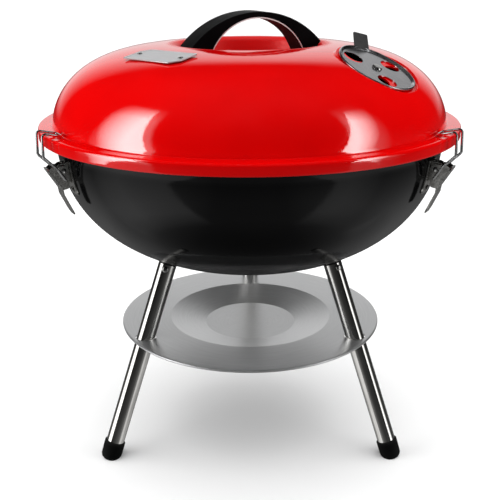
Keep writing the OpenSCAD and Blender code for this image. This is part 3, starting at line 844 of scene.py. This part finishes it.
def build_legs():
    shape = Shape()
    screw = [(0, 1), (1.5, 1), (1.5, 8.1), (2.5, 8.15), (2.6, 8.4), (2.45, 8.9), (1.9, 9.3), (1.0, 9.5),
             (0, 9.5)]
    for (name, azimuth), spin in zip(STATIONS.items(), (57, -32, 0)):
        build_leg(name, azimuth)
        shape.add(*lathe(screw, 32, closed=False),
                  on_leg(azimuth) @ move(0, 0, 181) @ turn(spin, "Z") @ turn(90, "Y"))
    piece("leg_screws", shape, ZINC, "bowl_stand", ["leg_screws"], "zinc_steel")


build_legs()


# ---- ash tray ----

def build_tray():
    top, sheet = 109.3, 1.0
    flat_in, flat_out, leg_r = 80.0, 117.6, 106.9
    dish = open_line([(0, 101.4), (41.7, 101.4), (74.7, top), (flat_in, top)], [0, 3, 3, 0])
    under = [(r + (0.3 if 41 < r < 76 else 0), z - sheet) for r, z in dish]
    shape = Shape().add(*lathe(dish + under[::-1], 160, closed=False))
    holes = [circle(leg_r * math.sin(math.radians(a)), -leg_r * math.cos(math.radians(a)), 9.2)
             for a in STATIONS.values()]
    verts, faces = plate(circle(0, 0, flat_out, 160), holes + [circle(0, 0, flat_in, 160)],
                         top - sheet, top)
    shape.add(verts, without_rim(verts, faces, [flat_in, flat_out]))
    lip = ([(flat_out, top), (118.2, top)] + arc(118.2, 108.1, 1.2, 80, -150, 16)
           + [(117.3, 107.9), (flat_out, top - sheet)])
    shape.add(*lathe(lip, 160, closed=False))
    piece("ash_tray", shape, TRAY_STEEL, "bowl_stand", ["ash_tray"], "tray_steel", merge=0.01, angle=40)


build_tray()


# ---- latches ----

PIVOT = (171.0, 269.3)  # the lever's pin, by radius and height
BAIL = (170.2, 261.3)  # the bail's ends


def bracket_base():
    """A plate that follows the bowl, rounded at its lower end."""
    rows, cols = 18, 8
    verts, faces = [], []
    for g in (1.45, 0.15):
        for i in range(rows + 1):
            z = 248 + 28 * i / rows
            r = bowl_at(z) + g
            half = 8.0 - 2.2 * (1 - i / 3) ** 2 if i < 3 else 8.0
            for k in range(cols + 1):
                y = -half + 2 * half * k / cols
                verts.append((math.sqrt(r * r - y * y), y, z))
    n = (rows + 1) * (cols + 1)
    for i in range(rows):
        for k in range(cols):
            a = i * (cols + 1) + k
            quad = [a, a + 1, a + cols + 2, a + cols + 1]
            faces += [quad, [q + n for q in quad[::-1]]]
    for i in range(rows):
        for a in (i * (cols + 1), i * (cols + 1) + cols):
            b = a + cols + 1
            faces.append([a, b, b + n, a + n])
    for k in range(cols):
        for a in (k, rows * (cols + 1) + k):
            faces.append([a, a + 1, a + 1 + n, a + n])
    return verts, faces


def lever_half(z):
    """Half the lever's width: a rounded tail below, a narrowing lip above."""
    if z < 238:
        return max(6.0 - 1.9 * ((238 - z) / 5.6) ** 2, 2.5)
    return 6.0 - 1.3 * max(z - 270.4, 0)


def build_latch(name, azimuth):
    place = at(azimuth)
    on_stand = {"body": "bowl_stand", "matrix": place}

    shape = Shape().add(*bracket_base())
    wall = [(bowl_at(z) + 0.6, z) for z in (275.2, 272, 269, 266, 263, 260, 257.5)]
    ear = (wall + open_line([(163.5, 256.6), (171.8, 264.2), (176.4, 268)], [0, 3, 0])[1:]
           + arc(*PIVOT, 5.6, -10, 88, 12))
    for z in (3.0, -4.2):
        shape.add(*plate(ear, [circle(*PIVOT, 1.6, 32)], z, z + 1.2), UPRIGHT)
    piece("latch_bracket_" + name, shape, LATCH_STEEL, nodes=["latch_bracket_" + name],
          slot="latch_steel", bevel=0.2, segments=2, **on_stand)

    pin = [(0, -6.55), (1.3, -6.55), (1.85, -6.3), (1.9, -6.05), (1.5, -6.05), (1.5, 6.05), (1.9, 6.05),
           (1.85, 6.3), (1.3, 6.55), (0, 6.55)]
    shape = Shape().add(*lathe(pin, 32, closed=False), move(PIVOT[0], 0, PIVOT[1]) @ turn(90, "X"))
    piece("latch_pin_" + name, shape, RIVET, nodes=["latch_pin_" + name], slot="rivet_steel", **on_stand)

    # the lever: two cheeks and a folded web that runs out into the finger tail
    cheek = ([(182.6, 270.6), (179.4, 273.0)] + arc(*PIVOT, 4.0, 75, 205, 10)
             + open_line([(166.9, 263.0), (167.0, 261.0), (167.9, 254.6), (172.2, 253.8)], [0, 2, 1, 0]))
    shape = Shape()
    for z in (4.8, -6.0):
        shape.add(*plate(cheek, [circle(*PIVOT, 1.56, 32), circle(*BAIL, 1.17, 24)], z, z + 1.2), UPRIGHT)
    spine = open_line([(183.5, 271.9), (182.2, 269.6), (173.0, 254.6), (172.2, 249.6), (166.2, 236.4),
                       (164.2, 232.4)], [0, 2.4, 2.4, 2.4, 2.4, 0])
    verts, faces = plate(thickened(spine, 1.2), [], -6.0, 6.0)
    shape.add([(r, z, math.copysign(lever_half(z), y)) for r, z, y in verts], faces, UPRIGHT)
    piece("latch_lever_" + name, shape, LATCH_STEEL, "latch_lever_" + name, ["latch_lever_" + name],
          "latch_steel", matrix=place, bevel=0.22, segments=2)

    # the bail: one sprung wire, by radius, height and bend, from the lever's hole over the flange
    path = [(*BAIL, 1.4), (176, 271, 3), (186.7, 281.8, 3), (186, 300.2, 2.6), (170.4, 296.5, 2)]
    points = [(BAIL[0], -4.5, BAIL[1])] + [(r, -7.4, z) for r, z, _ in path]
    points += [(r, 7.4, z) for r, z, _ in path[::-1]] + [(BAIL[0], 4.5, BAIL[1])]
    bends = [bend for _, _, bend in path]
    shape = Shape().add(*tube(bent(points, [0] + bends + bends[::-1] + [0]), 1.1, 24))
    piece("latch_bail_" + name, shape, WIRE, "latch_bail_" + name, ["latch_bail_" + name], "latch_wire",
          matrix=place)


def build_latches():
    shape = Shape()
    rivet = [(0, -2.6), (2.2, -2.5), (2.6, -2.1), (2.6, -1.65), (1.5, -1.6), (1.5, 1.6), (2.6, 1.65),
             (2.5, 2.0), (2.0, 2.35), (1.1, 2.55), (0, 2.6)]
    for name, azimuth in STATIONS.items():
        build_latch(name, azimuth)
        for z in (252.5, 272.0):
            slope = math.degrees(math.atan(bowl_at(z + 0.5) - bowl_at(z - 0.5)))
            shape.add(*lathe(rivet, 28, closed=False),
                      at(azimuth) @ move(bowl_at(z), 0, z) @ turn(90 + slope, "Y"))
    piece("latch_rivets", shape, RIVET, "bowl_stand", ["latch_rivets"], "rivet_steel")


build_latches()


# ---- grates, their ledges and the bowl's damper ----

def build_grate(name, r, z, pitch):
    rim_wire, wire = 2, 1.4
    ring_r = r - rim_wire
    shape = Shape()
    shape.add(*tube([(x, y, z) for x, y in circle(0, 0, ring_r, 180)], rim_wire, 14, closed=True))
    count = int((ring_r - 8) // pitch)
    bars = [i * pitch for i in range(-count, count + 1)]
    crossbars = (-0.45 * ring_r, 0.45 * ring_r)
    for x in bars:
        half = math.sqrt(ring_r ** 2 - x * x)
        shape.add(*tube([(x, -half + half * k / 6, z) for k in range(13)], wire, 14))
    for y in crossbars:
        half = math.sqrt(ring_r ** 2 - y * y)
        shape.add(*tube([(x, y, z - 0.6) for x in (-half, 0, half)], wire, 14))
    weld = [(0, -2.0), (1.5, -1.3), (1.9, -0.3), (1.5, 0.7), (0, 1.0)]
    for x in bars:
        for y in crossbars:
            shape.add(*lathe(weld, 12, closed=False), move(x, y, z - 0.4))
    piece(name, shape, GRATE, name, [name], "grate_wire", merge=0)


def build_supports():
    """Three folded ledges for each grate, on the bowl's wall."""
    shape = Shape()
    thick = 1.5
    for azimuth in (0, 120, 240):
        for top, inner in ((278.7, 150), (202.7, 108)):
            wall = bowl_at(top - 0.8, -SHEET) - 0.2
            line = open_line([(inner, top - thick / 2), (wall - 1.2, top - thick / 2),
                              (bowl_at(top - 10, -SHEET) - 1.0, top - 10)], [0, 1.5, 0])
            shape.add(*plate(thickened(line, thick), [], -6.8, 6.8), at(azimuth) @ UPRIGHT)
    piece("grate_supports", shape, PLAIN, "bowl_stand", ["grate_supports"], "plain_steel", bevel=0.3)


def build_bowl_damper():
    z, thick = 164.6, 1.2
    shape = Shape().add(*plate(circle(0, 0, 31, 96), vent_holes(19, BOTTOM_VENTS), z, z + thick))
    arm = open_line([(28, thick / 2), (47.4, thick / 2), (47.4, -9)], [0, 2.5, 0])
    shape.add(*plate(thickened(arm, thick), [], -7, 7), at(180) @ move(0, 0, z) @ UPRIGHT)
    piece("bowl_damper", shape, DISC_STEEL, "bowl_damper", ["bowl_damper"], "damper_steel", bevel=0.2,
          segments=2)
    rivet = [(0, -4.6), (2.5, -4.6), (4.4, -4.2), (5, -3.6), (5, -2.9), (2.5, -2.85), (2.5, -1.2),
             (4.5, -1.15), (4.5, -0.25), (2.5, -0.2), (2.5, 1.3), (5, 1.35), (4.9, 2.2), (4.0, 2.9),
             (2.2, 3.15), (0, 3.2)]
    shape = Shape().add(*lathe([(r, h + 167.2) for r, h in rivet], 40, closed=False))
    piece("bowl_damper_rivet", shape, RIVET, "bowl_stand", ["bowl_damper_rivet"], "rivet_steel")


build_grate("charcoal_grate", 118, 205, 15)
build_grate("cooking_grate", 158, 281, 13)
build_supports()
build_bowl_damper()


# ---- stage, light and camera ----

def build_stage():
    half = 30
    mesh = bpy.data.meshes.new("floor")
    mesh.from_pydata([(-half, -half, 0), (half, -half, 0), (half, half, 0), (-half, half, 0)], [],
                     [(0, 1, 2, 3)])
    ob = bpy.data.objects.new("floor", mesh)
    scene.collection.objects.link(ob)
    mat, _, shader = nodes_of("floor_paper")
    shader.inputs["Base Color"].default_value = (0.9, 0.9, 0.9, 1)
    shader.inputs["Roughness"].default_value = 0.9
    shader.inputs["Specular IOR Level"].default_value = 0.05
    mesh.materials.append(mat)
    ob.visible_glossy = False
    ob.visible_diffuse = False


def soft_box(name, corner, right, up, radiance, glossy, diffuse):
    """A rectangular light, in metres, from its lower left corner and its two sides."""
    right, up = Vector(right), Vector(up)
    light = bpy.data.lights.new(name, "AREA")
    light.shape = "RECTANGLE"
    light.size = right.length
    light.size_y = up.length
    light.energy = radiance * math.pi * right.length * up.length
    ob = bpy.data.objects.new(name, light)
    scene.collection.objects.link(ob)
    z = up.cross(right).normalized()
    x = -right.normalized()
    facing = Matrix((x, z.cross(x), z)).transposed().to_4x4()
    ob.matrix_world = Matrix.Translation(Vector(corner) + (right + up) / 2) @ facing
    ob.visible_glossy = glossy
    ob.visible_diffuse = diffuse
    ob.visible_camera = False
    return ob


def lid_box(name, corner, right, up, radiance, bright_end):
    """A soft box seen only in the lid's enamel. It is bright at one end and fades outwards and upwards."""
    ob = soft_box(name, corner, right, up, 1.0, True, False)
    ob.data.use_nodes = True
    tree = ob.data.node_tree
    across, rise, _ = split(tree, tree.nodes.new("ShaderNodeNewGeometry").outputs["Parametric"])
    out = ramp(tree, across, 0.0, 1.0, bright_end, 1.0 - bright_end)
    slant = maths(tree, "MULTIPLY_ADD", rise, 0.5, out)
    level = product(tree, ramp(tree, slant, 0.45, 1.0, 1.0, 0.0),
                    ramp(tree, rise, 0.75, 1.0, radiance, 0.0))
    feed(tree, level, tree.nodes["Emission"].inputs["Strength"])
    receivers = bpy.data.collections.new(name + "_receivers")
    receivers.objects.link(LID)
    ob.light_linking.receiver_collection = receivers


def build_world():
    """White to the camera and overhead light on matt surfaces.

    Gloss sees a dim studio with a pale wall and floor and two soft boxes.
    """
    world = bpy.data.worlds.new("studio")
    scene.world = world
    world.use_nodes = True
    tree = world.node_tree
    coords = coordinate(tree, "Generated")
    x, y, z = split(tree, coords)

    def beyond(normal, low, high):
        """Rises from 0 to 1 across the plane through the middle with that normal."""
        return ramp(tree, vectors(tree, "DOT_PRODUCT", coords, normal, output="Value"), low, high, 0.0, 1.0)

    def strip(inner, edge, outer, bright, dim):
        """A soft box: crisp along the plane of inner, fading towards the plane of outer."""
        return product(tree, beyond(inner, edge, edge + 0.05), beyond(outer, -0.16, 0.2),
                       ramp(tree, z, 0.64, 0.82, 1.0, 0.0), ramp(tree, z, -0.85, -0.7, 0.0, 1.0),
                       ramp(tree, z, -0.2, -0.1, dim, bright))

    wall = product(tree, ramp(tree, y, 0.72, 0.92, 0.0, 0.9), ramp(tree, z, -0.06, 0.04, 0.0, 1.0),
                   ramp(tree, z, 0.48, 0.6, 1.0, 0.0))
    floor = product(tree, ramp(tree, z, -0.6, -0.2, 1.0, 0.0), ramp(tree, z, -1.0, -0.8, 0.1, 1.0),
                    ramp(tree, maths(tree, "ABSOLUTE", x), 0.3, 0.75, 0.12, 0.4))
    gloss = ramp(tree, z, -0.2, 0.1, 0.05, 0.012)
    for part in (wall, floor, strip((-0.54, 0.815, -0.213), -0.08, (-0.015, -0.981, -0.195), 2.6, 0.5),
                 strip((0.552, 0.815, -0.177), -0.04, (-0.252, -0.967, 0.034), 2.0, 0.4)):
        gloss = maths(tree, "ADD", gloss, part)
    up = ramp(tree, z, 0.0, 1.0, 0.0, 1.0)
    matt = maths(tree, "ADD", product(tree, up, up, up, 3.2), 0.03)
    path = tree.nodes.new("ShaderNodeLightPath")
    shade = mixed(tree, path.outputs["Is Glossy Ray"], matt, gloss)
    shown = mixed(tree, path.outputs["Is Camera Ray"], shade, (1.0, 1.0, 1.0))
    feed(tree, shown, tree.nodes["Background"].inputs["Color"])


build_stage()
lid_box("box_left", (-1.205, -0.895, 0.176), (-0.234, 0.797, -0.29), (0.345, 0.545, 1.225), 15.0, 1.0)
lid_box("box_right", (1.305, -0.48, -0.054), (-0.16, -0.42, 0.23), (-0.36, 0.46, 1.12), 14.0, 0.0)
soft_box("fill_left", (-1.4, -1.3, 0.0), (-0.3, 1.7, 0), (0.0, 0.0, 0.6), 9.8, False, True)
soft_box("fill_right", (1.7, 0.4, 0.0), (-0.3, -1.7, 0), (0.0, 0.0, 0.6), 6.6, False, True)
build_world()


def build_camera():
    """The photo's camera, fitted to the outlines of the lid's flange, the bowl's rim and the tray."""
    pitch_down, roll = 0.3345, -0.0043
    camera = bpy.data.cameras.new("camera")
    camera.sensor_width = 36
    camera.lens = 59.66
    camera.clip_end = 100
    ob = bpy.data.objects.new("camera", camera)
    scene.collection.objects.link(ob)
    ob.location = (0, -0.7225, 0.4228)
    ob.rotation_euler = (Matrix.Rotation(math.radians(90) - pitch_down, 3, "X")
                         @ Matrix.Rotation(roll, 3, "Z")).to_euler()
    scene.camera = ob


build_camera()
scene.view_settings.view_transform = "Standard"
scene.view_settings.look = "None"
